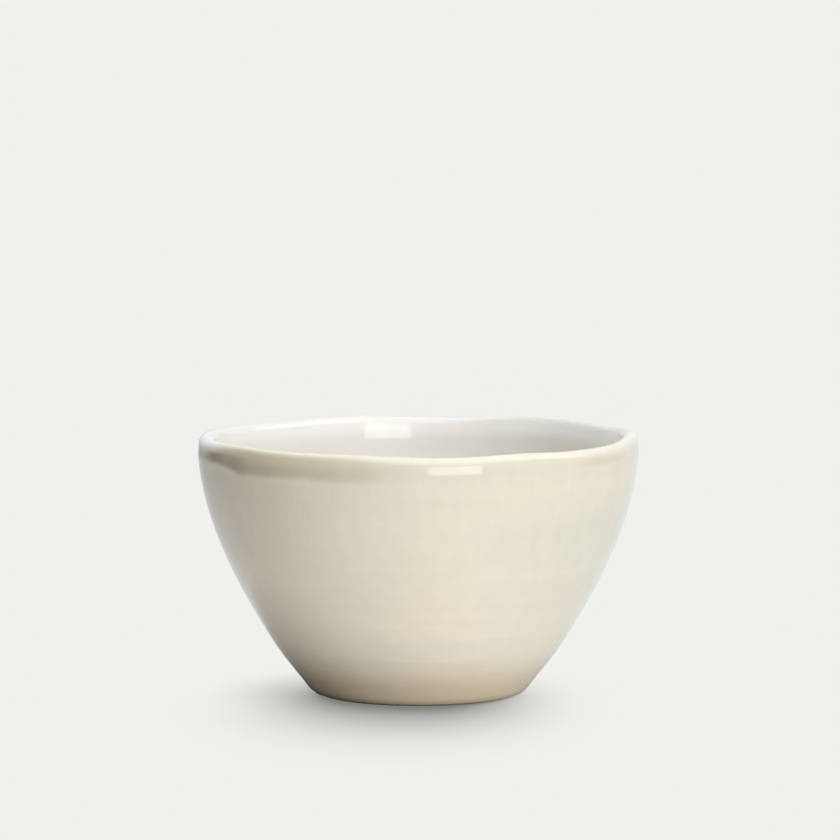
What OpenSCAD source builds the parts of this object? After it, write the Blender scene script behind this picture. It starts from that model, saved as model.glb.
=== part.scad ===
// Hand-thrown stoneware prep bowl: a clay body with glaze coats on its outside, lip, inside and foot recess.
// Millimetres, +Z up, origin at the centre of the standing ring on the table.

/* [Overall size] */
// Diameter across the glazed lip
rim_d = 120; // [104:1:150]
// Height from the table to the mean top of the glazed lip
bowl_h = 70.5; // [60:0.5:90]
// Diameter at which the line of the wall meets the table
foot_d = 56.8; // [48:0.1:66]
// Depth of the widest part below the mean top of the lip
collar = 5.4; // [4.5:0.1:7]
// Fullness of the outside wall, where 1 is a straight cone and 2 a round belly
belly = 1.64; // [1.4:0.01:2]
// Fullness of the inside wall
inner_belly = 1.8; // [1.4:0.01:2]

/* [Clay] */
// Thickness of the clay at the rounded lip
lip_t = 3.3; // [2.4:0.1:5]
// Lean of the face between the widest part and the rounded lip, in degrees
lip_lean = 7.3; // [2:0.1:12]
// Flare of the inside wall where it meets the lip, in degrees
mouth_flare = 3; // [0:0.1:8]
// Level thickness of the clay wall at the height of the floor
wall_t = 5.6; // [4.5:0.1:8]
// Thickness of the clay over the table at the centre of the floor
floor_t = 5.5; // [4.8:0.1:8]
// Height over which the floor sweeps up into the wall
floor_sweep = 14; // [8:0.5:18]
// Height over which the foot edge is rounded
foot_round = 3.2; // [2:0.1:4]

/* [Foot] */
// Width of the flat ring that stands on the table
ring_w = 5; // [3:0.1:7]
// Height of the recess inside the standing ring
recess_h = 2; // [1.6:0.1:2.6]
// Radius in the upper corner of the recess
recess_corner = 1.2; // [0.8:0.1:1.4]

/* [Glaze] */
// Thickness of the glaze on the walls
glaze_t = 0.4; // [0.3:0.05:0.6]
// Extra glaze gathered over the lip
lip_gather = 0.1; // [0:0.05:0.4]
// Depth of the rim band below the top of the lip, outside
band_out = 8; // [7.5:0.1:12]
// Depth of the rim band below the top of the lip, inside
band_in = 7.5; // [5:0.1:10]
// Height of the bare clay above the table
bare_h = 1; // [0.6:0.1:1.4]

/* [Hand-made rim] */
// Height of the waves in the lip
wave_h = 0.4; // [0:0.05:0.8]
// Waves round the lip in the slower of two trains; the quicker train has one more
wave_n = 6; // [3:1:9]
// Height by which one side of the lip stands above the mean
rim_tilt = 0.15; // [0:0.05:0.5]
// Height by which the lip is drawn up on that side
draw_up = 1.1; // [0:0.1:2]
// Angle over which the drawn-up part falls away to each side
draw_angle = 20; // [12:1:40]

/* [Hidden] */
$fn = 96;
sides = 64;
foot_rows = 3;
outside_rows = 11;
band_rows = 2;
lean_rows = 2;
lip_rows = 6;
inside_rows = 12;
foot_crowding = 1.4;
edge_thinning = 0.6;
gather_rows = 2;
cut = 1;
lip_coat = glaze_t + lip_gather;
clay_r = rim_d / 2 - lip_coat;
collar_z = bowl_h - collar;
lip_z = bowl_h - lip_coat - lip_t / 2;
lean_h = lip_z + lip_t / 2 * sin(lip_lean) - collar_z;
lean_in = tan(lip_lean) * lean_h / 2;
lip_r = clay_r - lean_in - lip_t / 2 * cos(lip_lean);
mouth = lip_point(180 - mouth_flare);
inner_h = mouth[1] - floor_t;
floor_r = wall_r(floor_t / collar_z) - wall_t;
flare_r = tan(mouth_flare) * inner_h;
flat_v = -foot_round / collar_z;
bare_v = (2 * sqrt(foot_round * bare_h) - foot_round) / collar_z;
band_v = (bowl_h - band_out) / collar_z;
inner_v = (bowl_h - band_in - floor_t) / inner_h;
level_v = -floor_sweep / inner_h;
recess_r = wall_r(flat_v) - ring_w;

// Radius of the outside wall, which swells from the foot (v = 0) to its widest part (v = 1)
function wall_r(v) = foot_d / 2 + (clay_r - foot_d / 2) * (1 - pow(1 - v, belly));
// Height of a slope that is eased into the level below it over the height k
function eased(a, k) = a >= k ? a : a <= -k ? 0 : (a + k) * (a + k) / (4 * k);
// Smooth step from 0 to 1
function step(x) = let(t = min(max(x, 0), 1)) t * t * (3 - 2 * t);

// Points of the clay outline as [radius, height]: outside wall, leaning face, rounded lip and inside wall
function outer_point(v) = [wall_r(v), eased(v * collar_z, foot_round)];
function lean_point(u) = [clay_r - lean_in * u * u, collar_z + lean_h * u];
function lip_point(a) = [lip_r + lip_t / 2 * cos(a), lip_z + lip_t / 2 * sin(a)];
function inner_point(v) = [
    floor_r + (mouth[0] - floor_r - flare_r) * (1 - pow(1 - v, inner_belly)) + flare_r * v,
    floor_t + eased(v * inner_h, floor_sweep)
];

// Clay outline from the standing ring, up the outside, over the lip and down to the level floor
foot_path = [for (i = [0:foot_rows - 1]) outer_point(flat_v + (bare_v - flat_v) * i / foot_rows)];
outside_path = [for (i = [0:outside_rows - 1])
    outer_point(bare_v + (band_v - bare_v) * pow(i / outside_rows, foot_crowding))];
rim_path = concat(
    [for (i = [0:band_rows - 1]) outer_point(band_v + (1 - band_v) * i / band_rows)],
    [for (i = [0:lean_rows - 1]) lean_point(i / lean_rows)],
    [for (i = [0:lip_rows]) lip_point(lip_lean + (180 - lip_lean - mouth_flare) * i / lip_rows)],
    [inner_point((1 + inner_v) / 2)]
);
inside_path = [for (i = [0:inside_rows]) inner_point(inner_v + (level_v - inner_v) * i / inside_rows)];
path = concat(foot_path, outside_path, rim_path, inside_path);
outside_row = len(foot_path);
rim_row = outside_row + len(outside_path);
inside_row = rim_row + len(rim_path);
last_row = len(path) - 1;

// Glazed outline: each clay point moved out along the outline's normal by the thickness of the coat
function normal(k) =
    let(t = path[min(k + 1, last_row)] - path[max(k - 1, 0)]) [t[1], -t[0]] / norm(t);
function coat_t(k) =
    (k <= outside_row ? edge_thinning : 1) * glaze_t
    + lip_gather * step(min(k - rim_row, inside_row - k) / gather_rows);
coat_path = [for (k = [0:last_row]) path[k] + coat_t(k) * normal(k)];

// A point of an outline carried round to the angle a and lifted by the wave of the rim
function rim_wave(a) =
    rim_tilt * cos(a)
    + wave_h * (cos(wave_n * a) + cos((wave_n + 1) * a)) / 2
    + draw_up * exp(-pow(min(a, 360 - a) / draw_angle, 2));
function placed(p, a) = [p[0] * cos(a), p[0] * sin(a), p[1] + rim_wave(a) * pow(p[1] / bowl_h, 4)];
function sheet(rows) = [for (p = rows, j = [0:sides - 1]) placed(p, 360 * j / sides)];

// Faces between two rings of points, of a sheet of rings, and of a sheet seen from its other side
function band(from, to) =
    [for (j = [0:sides - 1]) let(a = from * sides, b = to * sides, n = (j + 1) % sides)
        each [[a + j, b + j, b + n], [a + j, b + n, a + n]]];
function sheet_faces(first, rows) = [for (i = [first:first + rows - 2]) each band(i, i + 1)];
function turned(faces) = [for (f = faces) [f[2], f[1], f[0]]];
function upper_cap(row) = [for (j = [sides - 1:-1:0]) row * sides + j];
function lower_cap(row) = [for (j = [0:sides - 1]) row * sides + j];

// A coat of glaze over the rows from first to last; a closed coat also covers the level floor
module coat(first, last, closed = false) {
    rows = last - first + 1;
    glazed = [for (k = [first:last]) coat_path[k]];
    clay = [for (k = [first:last]) path[k]];
    far_end = closed ? [upper_cap(rows - 1), lower_cap(2 * rows - 1)] : band(rows - 1, 2 * rows - 1);
    polyhedron(
        points = concat(sheet(glazed), sheet(clay)),
        faces = concat(sheet_faces(0, rows), turned(sheet_faces(rows, rows)), band(rows, 0), far_end)
    );
}

// Half section of a round recess that is open below
module recess_section(r, h, corner) {
    translate([0, -cut])
        square([r, h - corner + cut]);
    square([r - corner, h]);
    translate([r - corner, h - corner])
        circle(corner);
}

module clay_body() {
    color([0.74, 0.66, 0.55])
        difference() {
            polyhedron(
                points = sheet(path),
                faces = concat(sheet_faces(0, len(path)), [lower_cap(0), upper_cap(last_row)])
            );
            rotate_extrude()
                recess_section(recess_r, recess_h, recess_corner);
        }
}

module outside_glaze() {
    color([0.84, 0.79, 0.69])
        coat(outside_row, rim_row);
}

module rim_glaze() {
    color([0.74, 0.68, 0.54])
        coat(rim_row, inside_row);
}

module inside_glaze() {
    color([0.88, 0.88, 0.85])
        coat(inside_row, last_row, closed = true);
}

module foot_glaze() {
    color([0.8, 0.75, 0.64])
        rotate_extrude()
            difference() {
                recess_section(recess_r, recess_h, recess_corner);
                recess_section(recess_r - glaze_t, recess_h - glaze_t, recess_corner - glaze_t);
                translate([0, -2 * cut])
                    square([recess_r + cut, bare_h + 2 * cut]);
            }
}

clay_body();
outside_glaze();
rim_glaze();
inside_glaze();
foot_glaze();
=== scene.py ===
"""A hand-thrown stoneware prep bowl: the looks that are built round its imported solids."""

import logging
import math
from dataclasses import dataclass
from enum import Enum
from typing import Mapping, NamedTuple, Optional, Sequence, Union

import bpy
import numpy as np
from mathutils import Euler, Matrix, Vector


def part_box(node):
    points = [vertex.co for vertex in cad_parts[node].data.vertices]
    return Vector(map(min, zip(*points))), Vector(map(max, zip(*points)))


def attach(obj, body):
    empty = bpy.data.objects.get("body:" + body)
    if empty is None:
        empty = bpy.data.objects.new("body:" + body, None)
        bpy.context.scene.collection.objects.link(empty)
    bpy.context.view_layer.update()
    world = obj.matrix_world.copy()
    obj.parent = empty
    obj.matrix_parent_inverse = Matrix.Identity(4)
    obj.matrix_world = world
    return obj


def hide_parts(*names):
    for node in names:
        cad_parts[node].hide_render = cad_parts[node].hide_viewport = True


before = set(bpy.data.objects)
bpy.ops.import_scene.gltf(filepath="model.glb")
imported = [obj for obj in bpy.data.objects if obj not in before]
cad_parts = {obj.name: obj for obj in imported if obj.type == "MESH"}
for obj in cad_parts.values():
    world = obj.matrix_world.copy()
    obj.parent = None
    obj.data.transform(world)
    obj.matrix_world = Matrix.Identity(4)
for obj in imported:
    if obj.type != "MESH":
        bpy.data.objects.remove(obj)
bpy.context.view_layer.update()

log = logging.getLogger("prep_bowl")

MM = 0.001
SPIN_STEPS = 192
MERGE_DISTANCE = 0.002 * MM
CREASE_ANGLE = math.radians(40)
NOISE_MEAN = 0.5
RUN = "run"

Triple = tuple[float, float, float]
Section = list[tuple[float, float]]
Value = Union[float, Sequence[float], "Pigment", "Shade"]


class Surface(Enum):
    """The bowl's surfaces, each with the name of a finish slot."""

    CLAY = "bare_clay"
    OUTSIDE = "sand_glaze"
    RIM = "honey_glaze"
    INSIDE = "pale_glaze"
    RECESS = "recess_glaze"


class Span(NamedTuple):
    """The values at which a share is 0 and 1, of which either may be the smaller."""

    start: float
    full: float

    @classmethod
    def mm(cls, start: float, full: float) -> "Span":
        """Makes a span of lengths from millimetres."""
        return cls(start * MM, full * MM)

    def share(self, value: np.ndarray) -> np.ndarray:
        """Gives how far values lie along the span, held between 0 and 1."""
        return np.clip((value - self.start) / (self.full - self.start), 0, 1)


@dataclass(frozen=True)
class Pigment:
    """A colour as a glaze mixer would match it, in 8-bit sRGB steps."""

    red: float
    green: float
    blue: float

    def linear(self) -> tuple[float, float, float, float]:
        """Gives the colour as shader light, by the sRGB curve.

        Returns:
            Red, green, blue and an alpha of 1.
        """
        steps = [level / 255 for level in (self.red, self.green, self.blue)]
        light = [s / 12.92 if s <= 0.04045 else ((s + 0.055) / 1.055) ** 2.4 for s in steps]
        return (light[0], light[1], light[2], 1.0)


WHITE = Pigment(255, 255, 255)
PAGE = Pigment(240, 241, 236)
ROOM = Pigment(232, 241, 245)


class Shade:
    """A shader socket that takes part in Python sums."""

    def __init__(self, sheet: "NodeSheet", socket: bpy.types.NodeSocket) -> None:
        """Wraps a socket of a node sheet."""
        self.sheet = sheet
        self.socket = socket

    def _sum(self, operation: str, first: Value, second: Value) -> "Shade":
        """Adds one Math node for two values."""
        return self.sheet.node("ShaderNodeMath", {"operation": operation}, {0: first, 1: second})

    def __add__(self, other: Value) -> "Shade":
        """Adds a value."""
        return self._sum("ADD", self, other)

    def __radd__(self, other: Value) -> "Shade":
        """Adds this to a value."""
        return self._sum("ADD", other, self)

    def __sub__(self, other: Value) -> "Shade":
        """Takes a value away."""
        return self._sum("SUBTRACT", self, other)

    def __rsub__(self, other: Value) -> "Shade":
        """Takes this away from a value."""
        return self._sum("SUBTRACT", other, self)

    def __mul__(self, other: Value) -> "Shade":
        """Multiplies by a value."""
        return self._sum("MULTIPLY", self, other)

    def __rmul__(self, other: Value) -> "Shade":
        """Multiplies a value by this."""
        return self._sum("MULTIPLY", other, self)

    def __pow__(self, other: Value) -> "Shade":
        """Raises to a power."""
        return self._sum("POWER", self, other)

    def at_least(self, other: Value) -> "Shade":
        """Keeps the larger of two values."""
        return self._sum("MAXIMUM", self, other)

    def above(self, least: float) -> "Shade":
        """Squeezes a share of 0 to 1 into the range from a least value to 1."""
        return least + self * (1 - least)

    def ramp(self, span: Span) -> "Shade":
        """Rises smoothly from 0 to 1 over a span."""
        settings = {"interpolation_type": "SMOOTHSTEP"}
        return self.sheet.node("ShaderNodeMapRange", settings, {0: self, 1: span.start, 2: span.full})


class NodeSheet:
    """The node tree of a material or of the world, cleared and drawn from code."""

    def __init__(self, owner: Union[bpy.types.Material, bpy.types.World]) -> None:
        """Starts an empty sheet.

        Args:
            owner: The material or the world that it belongs to.
        """
        owner.use_nodes = True
        self.tree = owner.node_tree
        self.tree.nodes.clear()

    def node(
        self,
        kind: str,
        settings: Optional[Mapping[str, object]] = None,
        inputs: Optional[Mapping[Union[int, str], Value]] = None,
        output: Union[int, str] = 0,
    ) -> Shade:
        """Adds a node.

        Args:
            kind: Blender's name of the node's type.
            settings: The node's own settings, which are set first.
            inputs: Values, pigments or links for its sockets, by index or name.
            output: The socket that is handed on.

        Returns:
            The chosen output.
        """
        made = self.tree.nodes.new(kind)
        for name, setting in (settings or {}).items():
            setattr(made, name, setting)
        for key, value in (inputs or {}).items():
            if isinstance(value, Shade):
                self.tree.links.new(value.socket, made.inputs[key])
            else:
                plain = value.linear() if isinstance(value, Pigment) else value
                made.inputs[key].default_value = plain
        return Shade(self, made.outputs[output] if made.outputs else made.inputs[0])

    def place(self) -> Shade:
        """Gives the place on the object, in metres."""
        return self.node("ShaderNodeTexCoord", output="Object")

    def axis(self, vector: Shade, name: str) -> Shade:
        """Gives one part of a vector, X, Y or Z."""
        return self.node("ShaderNodeSeparateXYZ", None, {0: vector}, output=name)

    def squeeze(self, vector: Shade, by: Triple) -> Shade:
        """Multiplies each part of a vector by a factor of its own."""
        return self.node("ShaderNodeVectorMath", {"operation": "MULTIPLY"}, {0: vector, 1: by})

    def mix(self, factor: Value, first: Value, second: Value) -> Shade:
        """Mixes two colours.

        Args:
            factor: 0 for the first colour and 1 for the second.
            first: A colour.
            second: Another colour.

        Returns:
            The mixed colour.
        """
        settings = {"data_type": "RGBA"}
        return self.node("ShaderNodeMix", settings, {0: factor, 6: first, 7: second}, output=2)

    def scale(self, colour: Value, by: Value) -> Shade:
        """Makes a colour lighter or darker by a factor."""
        plain = colour.linear()[:3] if isinstance(colour, Pigment) else colour
        return self.node("ShaderNodeVectorMath", {"operation": "SCALE"}, {0: plain, "Scale": by})

    def relief(self, height: Shade, strength: float, depth: float) -> Shade:
        """Turns a pattern's heights into a bumped normal."""
        inputs = {"Strength": strength, "Distance": depth, "Height": height}
        return self.node("ShaderNodeBump", None, inputs)

    def principled(self, inputs: Mapping[Union[int, str], Value]) -> None:
        """Ends a material in one Principled surface with these inputs."""
        body = self.node("ShaderNodeBsdfPrincipled", None, inputs)
        self.node("ShaderNodeOutputMaterial", None, {"Surface": body})

    def eye(self) -> Shade:
        """Gives 1 for rays that come straight from the camera."""
        return self.node("ShaderNodeLightPath", output="Is Camera Ray")

    def seen(self) -> Shade:
        """Tells the rays that show a surface to the eye, directly or in gloss or glass.

        Returns:
            1 for such rays and 0 for others.
        """
        glossy = self.node("ShaderNodeLightPath", output="Is Glossy Ray")
        through = self.node("ShaderNodeLightPath", output="Is Transmission Ray")
        return self.eye().at_least(glossy).at_least(through)


@dataclass(frozen=True)
class Drift:
    """A soft random pattern about 0.

    The scale is in cells per metre. Detail counts the finer layers, and roughness is the strength of each.
    The squeeze is a factor on the place along each axis, below 1 where the pattern is drawn out.
    """

    scale: float
    detail: float = 3.0
    roughness: float = 0.5
    squeeze: Triple = (1.0, 1.0, 1.0)

    def read(self, sheet: NodeSheet, place: Shade) -> Shade:
        """Reads the pattern.

        Args:
            sheet: The node sheet that it is drawn on.
            place: Where it is read.

        Returns:
            The pattern's value.
        """
        inputs = {
            "Vector": sheet.squeeze(place, self.squeeze),
            "Scale": self.scale,
            "Detail": self.detail,
            "Roughness": self.roughness,
        }
        return sheet.node("ShaderNodeTexNoise", None, inputs) - NOISE_MEAN


def points_of(piece: bpy.types.Object) -> np.ndarray:
    """Reads a piece's points.

    Args:
        piece: A mesh object.

    Returns:
        One row of X, Y and Z for each point.
    """
    count = len(piece.data.vertices)
    points = np.zeros(count * 3)
    piece.data.vertices.foreach_get("co", points)
    return points.reshape(count, 3)


@dataclass(frozen=True)
class Press:
    """A place where the fingers left the lip a little higher or lower.

    The turn is counted from the viewer's side to the right, in degrees.
    """

    turn: float
    width: float
    lift: float

    def lifts(self, turn: np.ndarray) -> np.ndarray:
        """Gives the lift of points round the lip.

        Args:
            turn: Each point's angle from the +X axis, in radians.

        Returns:
            The lift of each point in metres.
        """
        away = turn - math.radians(self.turn - 90)
        away = np.degrees(np.arctan2(np.sin(away), np.cos(away)))
        return self.lift * np.exp(-((away / self.width) ** 2))


@dataclass(frozen=True)
class Bulge:
    """A level at which the wall stands out from its smooth line, or in from it where out is below 0."""

    level: float
    spread: float
    out: float

    def outs(self, level: np.ndarray) -> np.ndarray:
        """Gives how far points at these levels stand out."""
        return self.out * np.exp(-(((level - self.level) / self.spread) ** 2))


@dataclass(frozen=True)
class HandTouch:
    """What the potter's hands leave on the wheel-thrown form.

    The lip's waves die away towards the foot by a power of the height. The heel's bulges and the throwing
    rings fade out towards the lip and towards the middle of the floor.
    """

    wave_h: float = 0.4 * MM
    wave_n: int = 6
    wave_power: int = 4
    rim_tilt: float = 0.15 * MM
    drawn: Press = Press(90, 20, 1.1 * MM)
    presses: tuple[Press, ...] = (
        Press(-94, 15, 0.8 * MM),
        Press(-54, 18, 0.68 * MM),
        Press(10, 12, -0.12 * MM),
        Press(40, 10, -0.5 * MM),
        Press(64, 12, 0.12 * MM),
        Press(90, 14, -0.07 * MM),
        Press(128, 20, 0.5 * MM),
        Press(180, 60, 0.28 * MM),
    )
    heel: tuple[Bulge, ...] = (
        Bulge(15 * MM, 4.5 * MM, 0.15 * MM),
        Bulge(3.2 * MM, 5 * MM, -0.5 * MM),
    )
    ring_depth: float = 0.025 * MM
    ring_pitch: float = 3.7 * MM
    ring_swing: float = 11 * MM
    ring_phase: float = 0.5
    below_lip: Span = Span.mm(6, 18)
    beyond_floor: Span = Span.mm(12, 32)

    @property
    def crest(self) -> float:
        """Height of the highest wave of the lip over the mean."""
        return self.wave_h + self.rim_tilt + self.drawn.lift

    def shape(self, piece: bpy.types.Object, height: float) -> None:
        """Moves a thrown piece's points from the true round form to the hand-made one.

        Args:
            piece: The piece, whose mesh is changed.
            height: The bowl's mean height, at which the lip has its full wave.
        """
        points = points_of(piece)
        level = points[:, 2]
        radius = np.hypot(points[:, 0], points[:, 1])
        turn = np.arctan2(points[:, 1], points[:, 0])
        lift = self._lifts(turn) * (level / height) ** self.wave_power
        swell = sum(bulge.outs(level) for bulge in self.heel)
        rings = np.sin(level / self.ring_pitch * math.tau + turn)
        rings *= np.sin(level / self.ring_swing + self.ring_phase)
        fade = self.below_lip.share(height - level) * self.beyond_floor.share(radius)
        outward = (swell + self.ring_depth * rings) * fade
        points[:, :2] *= (1 + outward / np.maximum(radius, MM))[:, None]
        points[:, 2] += lift
        piece.data.vertices.foreach_set("co", points.ravel())
        piece.data.update()

    def _lifts(self, turn: np.ndarray) -> np.ndarray:
        """Gives the lift of the lip's crest.

        Args:
            turn: Angles from the +X axis, in radians.

        Returns:
            The lift at each angle in metres.
        """
        waves = (np.cos(self.wave_n * turn) + np.cos((self.wave_n + 1) * turn)) / 2
        lift = self.rim_tilt * np.cos(turn) + self.wave_h * waves
        for press in (self.drawn, *self.presses):
            lift += press.lifts(turn)
        return lift


@dataclass(frozen=True)
class BowlForm:
    """The bowl's half section, in metres, as curves drawn from a few sizes."""

    rim_r: float
    height: float
    foot_r: float = 28.4 * MM
    belly: float = 1.64
    collar: float = 5.4 * MM
    lip_t: float = 3.3 * MM
    lip_lean: float = math.radians(7.3)
    mouth_flare: float = math.radians(3)
    wall_t: float = 5.6 * MM
    floor_t: float = 5.5 * MM
    floor_sweep: float = 14 * MM
    inner_belly: float = 1.72
    foot_round: float = 3.2 * MM
    ring_w: float = 5 * MM
    recess_h: float = 2 * MM
    recess_corner: float = 1.2 * MM
    glaze_t: float = 0.4 * MM
    lip_gather: float = 0.1 * MM
    gather_out: float = 2.6 * MM
    gather_in: float = 5.2 * MM
    edge_thinning: float = 0.6
    edge_run: float = 2 * MM
    band_out: float = 8 * MM
    band_in: float = 7.5 * MM
    bare_h: float = 1 * MM

    @classmethod
    def from_frame(cls, touch: HandTouch) -> "BowlForm":
        """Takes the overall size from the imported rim.

        Args:
            touch: The hand-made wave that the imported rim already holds.

        Returns:
            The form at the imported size.
        """
        _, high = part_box("rim_glaze")
        return cls(rim_r=high.x, height=high.z - touch.crest)

    @property
    def lip_z(self) -> float:
        """Height of the middle of the rounded lip."""
        return self.height - self.glaze_t - self.lip_gather - self.lip_t / 2

    @property
    def collar_z(self) -> float:
        """Height at which the bowl is widest."""
        return self.height - self.collar

    @property
    def collar_rise(self) -> float:
        """Height of the gently leaning face between the widest part and the rounded lip."""
        return self.lip_z + self.lip_t / 2 * math.sin(self.lip_lean) - self.collar_z

    @property
    def collar_drop(self) -> float:
        """How far the leaning face draws in over its height."""
        return math.tan(self.lip_lean) * self.collar_rise / 2

    @property
    def clay_r(self) -> float:
        """Radius of the clay at its widest."""
        return self.rim_r - self.glaze_t - self.lip_gather

    @property
    def lip_r(self) -> float:
        """Radius of the middle of the rounded lip."""
        return self.clay_r - self.collar_drop - self.lip_t / 2 * math.cos(self.lip_lean)

    @property
    def floor_r(self) -> float:
        """Radius at which the line of the inside wall meets the floor."""
        return self.outer_r(self.floor_t / self.collar_z) - self.wall_t

    @property
    def inner_h(self) -> float:
        """Height of the inside wall from the floor to the lip."""
        return self.lip(math.pi - self.mouth_flare)[1] - self.floor_t

    @staticmethod
    def eased(rise: float, over: float) -> float:
        """Eases a slope into the level below it.

        Args:
            rise: The slope's own height, below 0 before its foot.
            over: The height over which it is eased.

        Returns:
            The eased height.
        """
        if abs(rise) >= over:
            return max(rise, 0.0)
        return (rise + over) ** 2 / (4 * over)

    def outer_r(self, v: float) -> float:
        """Radius of the outside wall, from v = 0 at the foot to v = 1 at its widest."""
        return self.foot_r + (self.clay_r - self.foot_r) * (1 - (1 - v) ** self.belly)

    def outer(self, v: float) -> tuple[float, float]:
        """Point of the clay's outside, from v = 0 at the foot to v = 1 at its widest."""
        return self.outer_r(v), self.eased(v * self.collar_z, self.foot_round)

    def lean(self, u: float) -> tuple[float, float]:
        """Point of the leaning face, from u = 0 at the widest part to u = 1 at the lip."""
        return self.clay_r - self.collar_drop * u * u, self.collar_z + self.collar_rise * u

    def lip(self, angle: float) -> tuple[float, float]:
        """Point of the rounded clay lip at an angle from outside."""
        half = self.lip_t / 2
        return self.lip_r + half * math.cos(angle), self.lip_z + half * math.sin(angle)

    def inner(self, v: float) -> tuple[float, float]:
        """Gives a point of the clay's inside.

        Args:
            v: 0 at the floor and 1 at the lip.

        Returns:
            The point's radius and height.
        """
        mouth_r, _ = self.lip(math.pi - self.mouth_flare)
        flare = math.tan(self.mouth_flare) * self.inner_h
        swell = (mouth_r - self.floor_r - flare) * (1 - (1 - v) ** self.inner_belly)
        rise = self.eased(v * self.inner_h, self.floor_sweep)
        return self.floor_r + swell + flare * v, self.floor_t + rise


@dataclass(frozen=True)
class Stretch:
    """A run of rows along the bowl's section, by its first and last row."""

    first: int
    last: int


class BowlSection:
    """The clay's section and the glazed one over it, row by row from the foot to the middle of the floor."""

    FOOT_ROWS = 8
    OUTSIDE_ROWS = 52
    BAND_ROWS = 8
    LEAN_ROWS = 8
    LIP_ROWS = 20
    INSIDE_ROWS = 56
    FLOOR_ROWS = 8
    CORNER_ROWS = 6
    FOOT_CROWDING = 1.3
    RECESS_SHARES = (0.3, 0.6)

    def __init__(self, form: BowlForm) -> None:
        """Draws the rows.

        Args:
            form: The form whose curves they follow.
        """
        self.form = form
        flat_v = -form.foot_round / form.collar_z
        bare_v = (2 * math.sqrt(form.foot_round * form.bare_h) - form.foot_round) / form.collar_z
        band_v = (form.height - form.band_out) / form.collar_z
        inner_v = (form.height - form.band_in - form.floor_t) / form.inner_h
        level_v = -form.floor_sweep / form.inner_h
        mouth = math.pi - form.mouth_flare
        crowded = self._steps(0, 1, self.OUTSIDE_ROWS) ** self.FOOT_CROWDING
        foot = [form.outer(v) for v in self._steps(flat_v, bare_v, self.FOOT_ROWS)]
        outside = [form.outer(v) for v in bare_v + (band_v - bare_v) * crowded]
        band = [form.outer(v) for v in self._steps(band_v, 1, self.BAND_ROWS)]
        lean = [form.lean(u) for u in self._steps(0, 1, self.LEAN_ROWS)]
        lip = [form.lip(angle) for angle in self._steps(form.lip_lean, mouth, self.LIP_ROWS)]
        inner_band = [form.inner(v) for v in self._steps(1, inner_v, self.BAND_ROWS)]
        inside = [form.inner(v) for v in self._steps(inner_v, level_v, self.INSIDE_ROWS)]
        level_r, _ = form.inner(level_v)
        floor = [(r, form.floor_t) for r in np.linspace(level_r, 0, self.FLOOR_ROWS + 1)]
        self.clay = np.array(foot + outside + band + lean + lip + inner_band + inside + floor)
        self.recess_r = self.clay[0, 0] - form.ring_w
        rim_row = len(foot) + len(outside)
        lip_row = rim_row + len(band) + len(lean)
        inside_row = lip_row + len(lip) + len(inner_band)
        self.outside = Stretch(len(foot), rim_row)
        self.rim = Stretch(rim_row, inside_row)
        self.inside = Stretch(inside_row, len(self.clay) - 1)
        self.run = self._runs(lip_row + self.LIP_ROWS // 2)
        self.glazed = self._glazed()

    @staticmethod
    def _steps(start: float, end: float, rows: int) -> np.ndarray:
        """Gives even steps from a start up to the last one before an end."""
        return np.linspace(start, end, rows + 1)[:-1]

    @staticmethod
    def _eased(span: Span, value: np.ndarray) -> np.ndarray:
        """Smooth step from 0 to 1 over a span."""
        share = span.share(value)
        return share * share * (3 - 2 * share)

    def _runs(self, crest_row: int) -> np.ndarray:
        """Measures each row's distance from the lip's crest along the section.

        Args:
            crest_row: The row at the top of the lip.

        Returns:
            Distances in metres, above 0 outside and below 0 inside.
        """
        lengths = np.linalg.norm(np.diff(self.clay, axis=0), axis=1)
        along = np.concatenate([[0.0], np.cumsum(lengths)])
        return along[crest_row] - along

    def _glazed(self) -> np.ndarray:
        """Moves each clay row out along its normal by the thickness of the coat there.

        Returns:
            The glazed rows as radius and height.
        """
        form = self.form
        tangent = np.gradient(self.clay, axis=0)
        normal = np.stack([tangent[:, 1], -tangent[:, 0]], axis=1)
        normal /= np.linalg.norm(normal, axis=1)[:, None]
        past_outer = self._eased(Span(0, form.gather_out), self.run[self.rim.first] - self.run)
        past_inner = self._eased(Span(0, form.gather_in), self.run - self.run[self.rim.last])
        past_foot = self._eased(Span(0, form.edge_run), self.run[self.outside.first] - self.run)
        thinned = form.edge_thinning + (1 - form.edge_thinning) * past_foot
        coat = form.glaze_t * thinned + form.lip_gather * np.minimum(past_outer, past_inner)
        glazed = self.clay + coat[:, None] * normal
        glazed[-1, 0] = 0.0
        return glazed

    def coat(self, stretch: Stretch) -> Section:
        """Outlines a coat of glaze over a stretch of rows.

        Args:
            stretch: The rows that the coat covers.

        Returns:
            Its closed section, out along the glaze and back along the clay.
        """
        rows = slice(stretch.first, stretch.last + 1)
        return [tuple(p) for p in self.glazed[rows]] + [tuple(p) for p in self.clay[rows][::-1]]

    def _recess(self, depth: float, radii: Sequence[float]) -> Section:
        """Outlines the recess of the foot, or the face of a coat in it.

        Args:
            depth: How far the face lies below the clay.
            radii: Where the level part has points besides its middle.

        Returns:
            The points from the middle to the lower end of the rounded corner.
        """
        form = self.form
        corner = form.recess_corner - depth
        mid_r, mid_z = self.recess_r - form.recess_corner, form.recess_h - form.recess_corner
        level = [(r, form.recess_h - depth) for r in (0.0, *radii)]
        arc = np.linspace(math.pi / 2, 0, self.CORNER_ROWS + 1)
        return level + [(mid_r + corner * math.cos(a), mid_z + corner * math.sin(a)) for a in arc]

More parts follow.
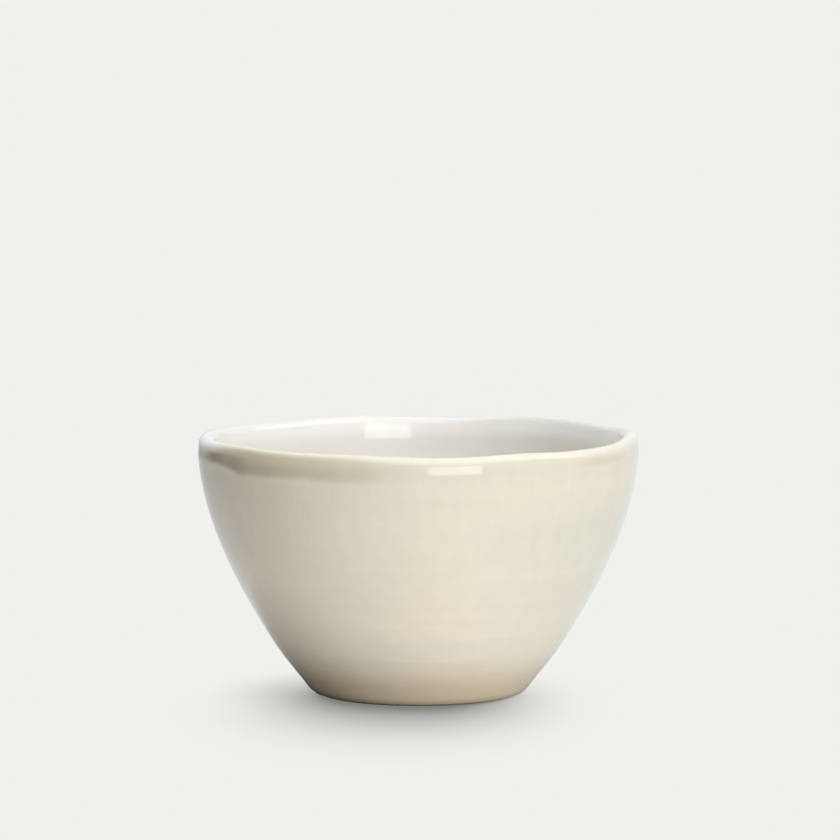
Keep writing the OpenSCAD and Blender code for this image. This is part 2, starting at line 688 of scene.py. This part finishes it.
    def body(self) -> Section:
        """Outlines the clay body with its turned foot.

        Returns:
            Its section from the middle of the recess, round the outside, to the middle of the floor.
        """
        recess = self._recess(0.0, [self.recess_r * share for share in self.RECESS_SHARES])
        ring = [(self.recess_r, 0.0), ((self.recess_r + self.clay[0, 0]) / 2, 0.0)]
        return recess + ring + [tuple(p) for p in self.clay]

    def recess_coat(self) -> Section:
        """Outlines the coat in the recess of the foot.

        Returns:
            Its section from the middle of its upper face to the middle of its lower one.
        """
        half_r = (self.recess_r - self.form.recess_corner) / 2
        upper = self._recess(0.0, [half_r])
        lower = self._recess(self.form.glaze_t, [half_r])
        for face in (upper, lower):
            face[-1] = (face[-1][0], self.form.bare_h)
        return upper + lower[::-1]


class Wheel:
    """Throws half sections into round pieces and gives each the potter's touch."""

    def __init__(self, section: BowlSection, touch: HandTouch) -> None:
        """Keeps the section that pieces are read against and the touch they get."""
        self.section = section
        self.touch = touch

    def throw(self, name: str, outline: Section) -> bpy.types.Object:
        """Spins a half section round the bowl's axis.

        Args:
            name: The piece's name.
            outline: Radius and height of each point, from the axis to the axis or in a closed loop.

        Returns:
            The closed, smooth piece at the origin.
        """
        closed = outline[0][0] > 0
        points = outline + [outline[0]] if closed else outline
        bpy.ops.object.select_all(action="DESELECT")
        bpy.ops.mesh.primitive_plane_add(size=MM, location=(points[0][0], 0, points[0][1]))
        piece = bpy.context.object
        piece.name = name
        piece.data.name = name
        bpy.ops.object.transform_apply(location=True)
        bpy.ops.object.mode_set(mode="EDIT")
        bpy.ops.mesh.select_all(action="SELECT")
        bpy.ops.mesh.merge(type="CENTER")
        for here, there in zip(points, points[1:]):
            step = (there[0] - here[0], 0, there[1] - here[1])
            bpy.ops.mesh.extrude_region_move(TRANSFORM_OT_translate={"value": step})
        bpy.ops.mesh.select_all(action="SELECT")
        bpy.ops.mesh.remove_doubles(threshold=MERGE_DISTANCE)
        bpy.ops.mesh.spin(steps=SPIN_STEPS, angle=math.tau, center=(0, 0, 0), axis=(0, 0, 1))
        bpy.ops.mesh.select_all(action="SELECT")
        bpy.ops.mesh.remove_doubles(threshold=MERGE_DISTANCE)
        bpy.ops.mesh.normals_make_consistent(inside=False)
        bpy.ops.object.mode_set(mode="OBJECT")
        self._mark_run(piece)
        self.touch.shape(piece, self.section.form.height)
        bpy.ops.object.shade_smooth_by_angle(angle=CREASE_ANGLE)
        return piece

    def _mark_run(self, piece: bpy.types.Object) -> None:
        """Stores each point's distance from the lip's crest along the section, in millimetres.

        The underside counts as the foot's own row, because its coat runs on from the outside.

        Args:
            piece: The piece, whose mesh gets the distances.
        """
        points = points_of(piece)
        flat = np.stack([np.hypot(points[:, 0], points[:, 1]), points[:, 2]], axis=1)
        rows = np.concatenate([self.section.glazed, self.section.clay])
        runs = np.concatenate([self.section.run, self.section.run])
        nearest = np.array([np.argmin(((rows - p) ** 2).sum(axis=1)) for p in flat])
        below = flat[:, 1] < self.section.form.floor_t / 2
        distances = np.where(below, self.section.run[0], runs[nearest])
        attribute = piece.data.attributes.new(RUN, "FLOAT", "POINT")
        attribute.data.foreach_set("value", (distances / MM).astype(np.float32))


class GlazeMap:
    """Where a point lies on the bowl, and the drifts that the wheel and the kiln left there.

    Across runs to the right, depth to the back and level upwards, in metres from the middle of the foot.
    The run is in millimetres along the section from the lip's crest, above 0 outside and below 0 inside.
    """

    CLOUD = Drift(45)
    STREAK = Drift(280, squeeze=(1, 1, 0.06))
    RINGS = Drift(230, roughness=0.6, squeeze=(0.04, 0.04, 1))
    GRAIN = Drift(260)
    CLOUD_WANDER = 2.2
    STREAK_WANDER = 0.5

    def __init__(self, sheet: NodeSheet) -> None:
        """Reads the places and drifts.

        Args:
            sheet: The glaze's node sheet.
        """
        self.sheet = sheet
        place = sheet.place()
        self.run = sheet.node("ShaderNodeAttribute", {"attribute_name": RUN}, output="Fac")
        self.across = sheet.axis(place, "X")
        self.depth = sheet.axis(place, "Y")
        self.level = sheet.axis(place, "Z")
        self.cloud = self.CLOUD.read(sheet, place)
        self.streak = self.STREAK.read(sheet, place)
        self.rings = self.RINGS.read(sheet, place)
        self.grain = self.GRAIN.read(sheet, place)
        self.wander = self.cloud * self.CLOUD_WANDER + self.streak * self.STREAK_WANDER


@dataclass(frozen=True)
class SandGround:
    """The sand glaze outside: warmer low down, pooled round the foot, and cooler with painted shade on the
    upper right.
    """

    sand: Pigment = Pigment(229, 228, 211)
    warm: Pigment = Pigment(239, 236, 219)
    cool_shade: Pigment = Pigment(221, 222, 208)
    pool: Pigment = Pigment(227, 216, 185)
    warm_level: Span = Span.mm(45, 20)
    cool_shade_side: Span = Span.mm(5, 40)
    cool_shade_top: Span = Span.mm(60, 50)
    cool_shade_rise: Span = Span.mm(15, 40)
    cool_shade_least: float = 0.4
    pool_level: Span = Span.mm(16, 1.5)
    pool_streak: float = 3 * MM

    def colour(self, at: GlazeMap) -> Shade:
        """Mixes the ground.

        Args:
            at: The places on the bowl.

        Returns:
            The ground's colour.
        """
        mix = at.sheet.mix
        ground = mix(at.level.ramp(self.warm_level), self.sand, self.warm)
        # Painted shade: a cooler, darker sand on the upper right of the wall.
        cool_shaded = at.across.ramp(self.cool_shade_side) * at.level.ramp(self.cool_shade_top)
        cool_shaded = cool_shaded * at.level.ramp(self.cool_shade_rise).above(self.cool_shade_least)
        ground = mix(cool_shaded, ground, self.cool_shade)
        pooled = (at.level + at.streak * self.pool_streak).ramp(self.pool_level)
        return mix(pooled, ground, self.pool)


@dataclass(frozen=True)
class HoneyLip:
    """The lip, where two glazes overlap in a band under a paler crest, milk-white at its left end.

    The band is painted darker towards the left and in its lower part, a painted shade under the lip's roll,
    and a dark smear along its left end is a painted shadow there. A thin straw stroke along its right is a
    yellow tint that is partly painted shade.
    """

    straw: Pigment = Pigment(214, 207, 180)
    shade_taupe: Pigment = Pigment(198, 190, 170)
    smear_shadow: Pigment = Pigment(152, 144, 126)
    cream: Pigment = Pigment(240, 234, 216)
    honey: Pigment = Pigment(241, 235, 207)
    milk: Pigment = Pigment(248, 246, 241)
    honey_and_shade_side: Span = Span.mm(0, -46)
    honey_and_shade_cloud: float = 20 * MM
    band_run: Span = Span(8.4, 6.2)
    band_least: float = 0.06
    tuck_side: Span = Span.mm(-46.5, -54.5)
    tuck: float = 2.1
    shade_taupe_run: Span = Span(2.5, 5.5)
    smear_run: Span = Span(2.2, 3.6)
    smear_near: Span = Span.mm(-44, -49.5)
    smear_far: Span = Span.mm(-51.5, -55.5)
    smear_step: float = 0.5
    smear_end: Span = Span.mm(-58.5, -54.5)
    smear_least: float = 0.3
    stroke_top: Span = Span(2.2, 3.2)
    stroke_foot: Span = Span(5.4, 4)
    stroke_start: Span = Span.mm(38, 48)
    stroke_end: Span = Span.mm(57, 53)
    stroke_strength: float = 0.5
    tip_side: Span = Span.mm(-48, -56)
    tip_end: Span = Span.mm(-55.5, -58.5)
    tip_strength: float = 0.9
    crest_run: Span = Span(0.8, 4)
    crest_wander: float = 0.3

    def colour(self, at: GlazeMap, ground: Shade) -> Shade:
        """Lays the lip over the ground.

        Args:
            at: The places on the bowl.
            ground: The colour below the band.

        Returns:
            The colour of the outside, up to the lip's crest.
        """
        mix = at.sheet.mix
        # Painted shade: the band weighs most on the left, under the lip's roll; on the crest this share
        # gives the honey tint.
        honey_and_shade = (at.across + at.cloud * self.honey_and_shade_cloud).ramp(self.honey_and_shade_side)
        tip = at.across.ramp(self.tip_side)
        crest = mix(honey_and_shade, self.cream, self.honey)
        crest = mix(tip * self.tip_strength, crest, self.milk)
        laid = at.run * (1 + honey_and_shade * honey_and_shade * (1 - tip)) + at.wander * self.crest_wander
        laid = laid - at.across.ramp(self.tip_end)
        return mix(laid.ramp(self.crest_run), crest, self._band(at, ground, honey_and_shade))

    def _band(self, at: GlazeMap, ground: Shade, honey_and_shade: Shade) -> Shade:
        """Lays the overlapping band, with its painted shade, its smear of painted shadow and its stroke.

        Args:
            at: The places on the bowl.
            ground: The colour below the band.
            honey_and_shade: How strongly the honey tint and the band's painted shade are laid, most on the
                left.

        Returns:
            The colour of the band and the ground below it.
        """
        mix = at.sheet.mix
        covers = (at.run + at.wander + at.across.ramp(self.tuck_side) * self.tuck).ramp(self.band_run)
        # Painted shade: the band is darker in its lower part (shade_taupe) and towards the left.
        band = mix(at.run.ramp(self.shade_taupe_run), self.straw, self.shade_taupe)
        colour = mix(covers * honey_and_shade.above(self.band_least), ground, band)
        # Painted shadow: a dark smear under the lip's roll at the band's left end.
        dark = (at.across.ramp(self.smear_near) + at.across.ramp(self.smear_far)) * self.smear_step
        smear = covers * at.run.ramp(self.smear_run) * dark
        smear = smear * at.across.ramp(self.smear_end).above(self.smear_least)
        colour = mix(smear, colour, self.smear_shadow)
        # A thin straw stroke on the band's right, a yellow tint that is partly painted shade under the lip's
        # roll.
        stroke = at.run.ramp(self.stroke_top) * at.run.ramp(self.stroke_foot)
        stroke = stroke * at.across.ramp(self.stroke_start) * at.across.ramp(self.stroke_end)
        return mix(stroke * self.stroke_strength, colour, self.straw)


@dataclass(frozen=True)
class PaleLining:
    """The pale glaze inside, with painted light: warmer to the right and a brighter band under the lip,
    whiter to the right.
    """

    pale: Pigment = Pigment(237, 234, 228)
    ivory: Pigment = Pigment(236, 233, 221)
    milk: Pigment = Pigment(248, 246, 241)
    white: Pigment = Pigment(254, 253, 251)
    ivory_side: Span = Span.mm(0, 50)
    white_side: Span = Span.mm(15, 35)
    line_foot: Span = Span(-7, -3)
    line_top: Span = Span(-0.8, -2.4)

    def colour(self, at: GlazeMap) -> Shade:
        """Mixes the lining.

        Args:
            at: The places on the bowl.

        Returns:
            The lining's colour.
        """
        mix = at.sheet.mix
        # Painted warm bounce: the lining turns warmer towards the right.
        lining = mix(at.across.ramp(self.ivory_side), self.pale, self.ivory)
        # Painted light: a brighter band under the lip, whiter towards the right.
        bright = mix(at.across.ramp(self.white_side), self.milk, self.white)
        return mix(at.run.ramp(self.line_foot) * at.run.ramp(self.line_top), lining, bright)


@dataclass(frozen=True)
class WheelMarks:
    """The faint lights and darks of throwing rings, glaze runs, clouds and grain, and their relief.

    The rings are strongest low on the wall and the runs high on it, and both are fainter inside. A soft
    dusk, painted shade, darkens the upper wall on the left.
    """

    upper: Span = Span.mm(15, 50)
    streak: float = 0.04
    streak_rise: float = 0.05
    rings: float = 0.16
    rings_fall: float = 0.08
    grain: float = 0.04
    cloud: float = 0.05
    outer_run: Span = Span(-2, 1)
    inside_least: float = 0.25
    dusk: float = 0.06
    dusk_side: Span = Span.mm(-5, -40)
    dusk_foot: Span = Span.mm(36, 46)
    dusk_top: Span = Span.mm(65, 61)
    cloud_relief: float = 0.6
    rings_relief: float = 0.25
    grain_relief: float = 0.05
    strength: float = 0.12
    depth: float = 0.2 * MM

    def light(self, at: GlazeMap) -> Shade:
        """Gives the factor by which the marks lighten or darken the glaze.

        Args:
            at: The places on the bowl.

        Returns:
            The factor, about 1.
        """
        upper = at.level.ramp(self.upper)
        marks = at.streak * (self.streak + upper * self.streak_rise)
        marks = marks + at.rings * (self.rings - upper * self.rings_fall) + at.grain * self.grain
        # Painted shade: the upper wall on the left is darkened.
        dusk = at.across.ramp(self.dusk_side) * at.level.ramp(self.dusk_foot) * at.level.ramp(self.dusk_top)
        shade = 1 + at.cloud * self.cloud + marks * at.run.ramp(self.outer_run).above(self.inside_least)
        return shade - dusk * self.dusk

    def normal(self, at: GlazeMap) -> Shade:
        """Gives the normal that the marks' relief bends."""
        height = at.cloud * self.cloud_relief + at.rings * self.rings_relief + at.grain * self.grain_relief
        return at.sheet.relief(height, self.strength, self.depth)


@dataclass(frozen=True)
class GlazeFinish:
    """The bowl's glazes as one continuous finish, from the sand outside over the lip to the pale inside.

    The lining's colour ends just inside the crest at the front and just outside it at the back, where the
    whiter crest is a painted highlight.
    """

    ground: SandGround = SandGround()
    lip: HoneyLip = HoneyLip()
    lining: PaleLining = PaleLining()
    marks: WheelMarks = WheelMarks()
    lap_run: Span = Span(-1.6, -0.2)
    lap_wander: float = 0.3
    back_highlight_depth: Span = Span.mm(-20, 20)
    back_highlight_shift: float = 2.0
    roughness: float = 0.05
    roughness_grain: float = 0.04
    ior: float = 1.5

    def material(self, name: str) -> bpy.types.Material:
        """Draws the finish's nodes.

        Args:
            name: The material's name.

        Returns:
            The material.
        """
        material = bpy.data.materials.new(name)
        sheet = NodeSheet(material)
        at = GlazeMap(sheet)
        outer = self.lip.colour(at, self.ground.colour(at))
        # Painted highlight: towards the back the pale lining reaches over the crest.
        lapped = at.run + at.wander * self.lap_wander - at.depth.ramp(self.back_highlight_depth) * self.back_highlight_shift
        colour = sheet.mix(lapped.ramp(self.lap_run), self.lining.colour(at), outer)
        inputs = {
            "Base Color": sheet.scale(colour, self.marks.light(at)),
            "Roughness": self.roughness + at.grain * self.roughness_grain,
            "IOR": self.ior,
            "Normal": self.marks.normal(at),
        }
        sheet.principled(inputs)
        return material


@dataclass(frozen=True)
class BareClay:
    """Unglazed fired stoneware, sandy and matte, with a few darker grains."""

    biscuit: Pigment = Pigment(208, 192, 164)
    toasted: Pigment = Pigment(190, 168, 136)
    grog: Pigment = Pigment(112, 92, 70)
    patch: Drift = Drift(90)
    grain: Drift = Drift(1500, 2, 0.7)
    speck: Drift = Drift(900, 1)
    toasted_patch: Span = Span(-0.2, 0.2)
    grog_speck: Span = Span(0.16, 0.24)
    roughness: float = 0.75
    roughness_grain: float = 0.3
    strength: float = 0.5
    depth: float = 0.1 * MM

    def material(self, name: str) -> bpy.types.Material:
        """Draws the clay's nodes.

        Args:
            name: The material's name.

        Returns:
            The material.
        """
        material = bpy.data.materials.new(name)
        sheet = NodeSheet(material)
        place = sheet.place()
        grain = self.grain.read(sheet, place)
        toasted = self.patch.read(sheet, place).ramp(self.toasted_patch)
        specked = self.speck.read(sheet, place).ramp(self.grog_speck)
        colour = sheet.mix(specked, sheet.mix(toasted, self.biscuit, self.toasted), self.grog)
        inputs = {
            "Base Color": colour,
            "Roughness": self.roughness + grain * self.roughness_grain,
            "Normal": sheet.relief(grain, self.strength, self.depth),
        }
        sheet.principled(inputs)
        return material


class PrepBowl:
    """The bowl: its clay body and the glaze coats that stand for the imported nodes."""

    def __init__(self, touch: HandTouch) -> None:
        """Draws the bowl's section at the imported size."""
        self.section = BowlSection(BowlForm.from_frame(touch))
        self.wheel = Wheel(self.section, touch)

    def build(self, glaze: bpy.types.Material, clay: bpy.types.Material) -> list[bpy.types.Object]:
        """Throws and dresses every piece.

        Args:
            glaze: The material of the coats.
            clay: The material of the body.

        Returns:
            The pieces in building order.
        """
        section = self.section
        return [
            self._piece("thrown_body", "clay_body", section.body(), clay),
            self._piece("sand_coat", "outside_glaze", section.coat(section.outside), glaze),
            self._piece("honey_lip", "rim_glaze", section.coat(section.rim), glaze),
            self._piece("pale_lining", "inside_glaze", section.coat(section.inside), glaze),
            self._piece("recess_coat", "foot_glaze", section.recess_coat(), glaze),
        ]

    def _piece(
        self, name: str, node: str, outline: Section, finish: bpy.types.Material
    ) -> bpy.types.Object:
        """Throws one piece, dresses it and lets it stand for its node.

        Args:
            name: The piece's name.
            node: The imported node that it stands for.
            outline: Its half section.
            finish: Its material.

        Returns:
            The piece.
        """
        piece = self.wheel.throw(name, outline)
        piece.data.materials.clear()
        piece.data.materials.append(finish)
        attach(piece, "root")
        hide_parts(node)
        log.info("%s stands for %s with %d faces", name, node, len(piece.data.polygons))
        return piece


@dataclass(frozen=True)
class Bearing:
    """A way out from the bowl, by its turn from the viewer's side to the right and its rise, in degrees."""

    turn: float
    rise: float

    def vector(self) -> Vector:
        """Gives the unit vector that points along the bearing."""
        turn, rise = math.radians(self.turn), math.radians(self.rise)
        return Vector((math.sin(turn) * math.cos(rise), -math.cos(turn) * math.cos(rise), math.sin(rise)))

    def facing_back(self) -> Euler:
        """Gives the rotation of a lamp that stands on the bearing and shines back along it."""
        return self.vector().to_track_quat("Z", "Y").to_euler()


@dataclass(frozen=True)
class Lamp:
    """A far soft lamp that lights the bowl and that its gloss doesn't mirror."""

    name: str
    bearing: Bearing
    level: float
    colour: Pigment = WHITE
    spread: float = 40.0

    def hang(self) -> None:
        """Makes the lamp."""
        data = bpy.data.lights.new(self.name, "SUN")
        data.energy = self.level * math.pi
        data.color = self.colour.linear()[:3]
        data.angle = math.radians(self.spread)
        lamp = bpy.data.objects.new(self.name, data)
        lamp.rotation_euler = self.bearing.facing_back()
        lamp.visible_glossy = False
        bpy.context.scene.collection.objects.link(lamp)


@dataclass(frozen=True)
class Panel:
    """A bright panel that only the bowl's gloss mirrors."""

    name: str
    bearing: Bearing
    distance: float
    width: float
    height: float
    light: float

    def hang(self) -> None:
        """Makes the panel."""
        data = bpy.data.lights.new(self.name, "AREA")
        data.shape = "RECTANGLE"
        data.size = self.width
        data.size_y = self.height
        data.energy = self.light * math.pi * self.width * self.height
        panel = bpy.data.objects.new(self.name, data)
        panel.location = self.bearing.vector() * self.distance
        panel.rotation_euler = self.bearing.facing_back()
        panel.visible_diffuse = False
        panel.visible_camera = False
        bpy.context.scene.collection.objects.link(panel)


@dataclass(frozen=True)
class PaleRoom:
    """The world: faint even light, the page's colour for the eye, and for gloss a room, dim on its left.

    A bright ceiling shows only in gloss. Spans are parts of the unit way outwards.
    """

    sky_level: float = 0.05
    side: Span = Span(-0.6, 0.2)
    side_least: float = 0.7
    ceiling_gain: float = 3.2
    ceiling_rise: Span = Span(0.3, 0.45)
    ceiling_side: Span = Span(-0.65, -0.15)
    ceiling_back: Span = Span(0.6, 0)

    def build(self) -> None:
        """Makes the world."""
        world = bpy.data.worlds.new("pale_room")
        bpy.context.scene.world = world
        sheet = NodeSheet(world)
        way = sheet.node("ShaderNodeTexCoord", output="Generated")
        across = sheet.axis(way, "X")
        ceiling = sheet.axis(way, "Z").ramp(self.ceiling_rise) * across.ramp(self.ceiling_side)
        ceiling = ceiling * sheet.axis(way, "Y").ramp(self.ceiling_back) * self.ceiling_gain
        room = sheet.scale(ROOM, across.ramp(self.side).above(self.side_least) + ceiling)
        colour = sheet.mix(sheet.eye(), room, PAGE)
        light = sheet.node("ShaderNodeBackground", None, {"Color": WHITE, "Strength": self.sky_level})
        page = sheet.node("ShaderNodeBackground", None, {"Color": colour, "Strength": 1})
        shown = sheet.node("ShaderNodeMixShader", None, {0: sheet.seen(), 1: light, 2: page})
        sheet.node("ShaderNodeOutputWorld", None, {"Surface": shown})


@dataclass(frozen=True)
class PaleFloor:
    """The pale table, which glows and keeps a painted shadow of the bowl: a wide soft part and a short part
    along the foot.

    It lies a hair below the foot, so that no two faces share a plane.
    """

    bounce_tint: Pigment = Pigment(252, 240, 233)
    reach: float = 40.0
    gap: float = 0.02 * MM
    shadow_from: Bearing = Bearing(185, 40)
    shadow_reach: float = 120 * MM
    shadow_power: float = 1.3
    shadow_depth: float = 0.92
    shadow_squeeze: Triple = (1, 0.5, 1)
    shadow_middle: Triple = (-8 * MM, -15 * MM, 0)
    shadow_fade: Span = Span.mm(60, 10)
    contact_from: Bearing = Bearing(60, 50)
    contact_reach: float = 25 * MM
    contact_power: float = 2
    contact_depth: float = 0.35
    darkest: float = 0.25
    bounce_from: Bearing = Bearing(100, 55)
    bounce_reach: float = 60 * MM
    bounce_power: float = 1.5
    bounce_level: float = 1.0
    side: Span = Span(-0.35, 0)
    side_least: float = 0.5
    open_samples: int = 16

    def build(self) -> None:
        """Lays the floor."""
        bpy.ops.object.select_all(action="DESELECT")
        bpy.ops.mesh.primitive_plane_add(size=self.reach, location=(0, 0, -self.gap))
        bpy.ops.object.transform_apply(location=True)
        floor = bpy.context.object
        floor.name = "pale_floor"
        floor.data.materials.append(self._material())

    def _material(self) -> bpy.types.Material:
        """Draws what the floor shows the eye and gloss, and the light that it sheds on the bowl.

        Returns:
            The floor's material.
        """
        material = bpy.data.materials.new("pale_floor")
        sheet = NodeSheet(material)
        material.cycles.emission_sampling = "NONE"
        place = sheet.place()
        clear = self._clear(sheet, place)
        shed = self._open(sheet, self.bounce_from, self.bounce_reach) ** self.bounce_power
        shed = shed * sheet.axis(place, "X").ramp(self.side).above(self.side_least)
        shown = sheet.mix(sheet.eye(), sheet.scale(ROOM, clear * shed), sheet.scale(PAGE, clear))
        page = sheet.node("ShaderNodeEmission", None, {"Color": shown, "Strength": 1})
        tinted = {"Color": sheet.scale(self.bounce_tint, shed), "Strength": self.bounce_level}
        bounce = sheet.node("ShaderNodeEmission", None, tinted)
        surface = sheet.node("ShaderNodeMixShader", None, {0: sheet.seen(), 1: bounce, 2: page})
        sheet.node("ShaderNodeOutputMaterial", None, {"Surface": surface})
        return material

    def _clear(self, sheet: NodeSheet, place: Shade) -> Shade:
        """Measures how much of the page's light the bowl's shadow leaves.

        Args:
            sheet: The floor's node sheet.
            place: The place on the floor.

        Returns:
            1 outside the shadow and less in it.
        """
        covered = 1 - self._open(sheet, self.shadow_from, self.shadow_reach)
        near = 1 - self._open(sheet, self.contact_from, self.contact_reach)
        # Painted shadow: the wide part fades out round a fixed middle in front of the foot.
        ends = {0: sheet.squeeze(place, self.shadow_squeeze), 1: self.shadow_middle}
        away = sheet.node("ShaderNodeVectorMath", {"operation": "DISTANCE"}, ends, output="Value")
        shadow = covered**self.shadow_power * away.ramp(self.shadow_fade) * self.shadow_depth
        shadow = shadow + near**self.contact_power * self.contact_depth
        return (1 - shadow).at_least(self.darkest)

    def _open(self, sheet: NodeSheet, bearing: Bearing, reach: float) -> Shade:
        """Measures how much of the light from one side reaches the floor past the bowl.

        Args:
            sheet: The floor's node sheet.
            bearing: Where the light comes from.
            reach: How far the bowl keeps light out.

        Returns:
            1 where the floor is open and less where the bowl covers it.
        """
        aim = sheet.node("ShaderNodeCombineXYZ", None, dict(enumerate(bearing.vector())))
        settings = {"samples": self.open_samples}
        return sheet.node("ShaderNodeAmbientOcclusion", settings, {"Distance": reach, "Normal": aim}, "AO")


@dataclass(frozen=True)
class Viewpoint:
    """The camera at the photograph's viewing angle."""

    distance: float = 1.5494
    height: float = 0.2176
    side: float = 0.00042
    pitch: float = 5.2635
    lens: float = 245.0
    clip: float = 160.0

    def build(self) -> None:
        """Makes the camera and looks through it."""
        data = bpy.data.cameras.new("camera")
        data.lens = self.lens
        data.clip_end = self.clip
        camera = bpy.data.objects.new("camera", data)
        camera.location = (self.side, -self.distance, self.height)
        camera.rotation_euler = (math.radians(90 - self.pitch), 0, 0)
        bpy.context.scene.collection.objects.link(camera)
        bpy.context.scene.camera = camera


@dataclass(frozen=True)
class Studio:
    """The photograph's plain pale table, its light and its camera."""

    room: PaleRoom = PaleRoom()
    floor: PaleFloor = PaleFloor()
    lamps: tuple[Lamp, ...] = (
        Lamp("key", Bearing(27.5, 6), 0.765),
        Lamp("overhead", Bearing(0, 90), 0.47),
        Lamp("back", Bearing(180, 55), 0.4),
        Lamp("back_left", Bearing(225, 30), 0.26, Pigment(230, 241, 255)),
        Lamp("back_right", Bearing(135, 30), 0.16, Pigment(232, 243, 255)),
    )
    panel: Panel = Panel("soft_box", Bearing(18.5, 6.07), 1.609, 0.77, 0.30, 3.5)
    viewpoint: Viewpoint = Viewpoint()

    def build(self) -> None:
        """Lays the floor, hangs the lamps and sets up the camera."""
        bpy.context.scene.view_settings.view_transform = "Standard"
        self.room.build()
        self.floor.build()
        for light in (*self.lamps, self.panel):
            light.hang()
        self.viewpoint.build()


def main() -> None:
    """Builds the bowl and its studio."""
    logging.basicConfig(level=logging.INFO, format="%(name)s: %(message)s")
    Studio().build()
    glaze = GlazeFinish().material("bowl_glaze")
    clay = BareClay().material("bare_stoneware")
    pieces = PrepBowl(HandTouch()).build(glaze, clay)
    log.info("%d pieces built", len(pieces))


if __name__ == "__main__":
    main()
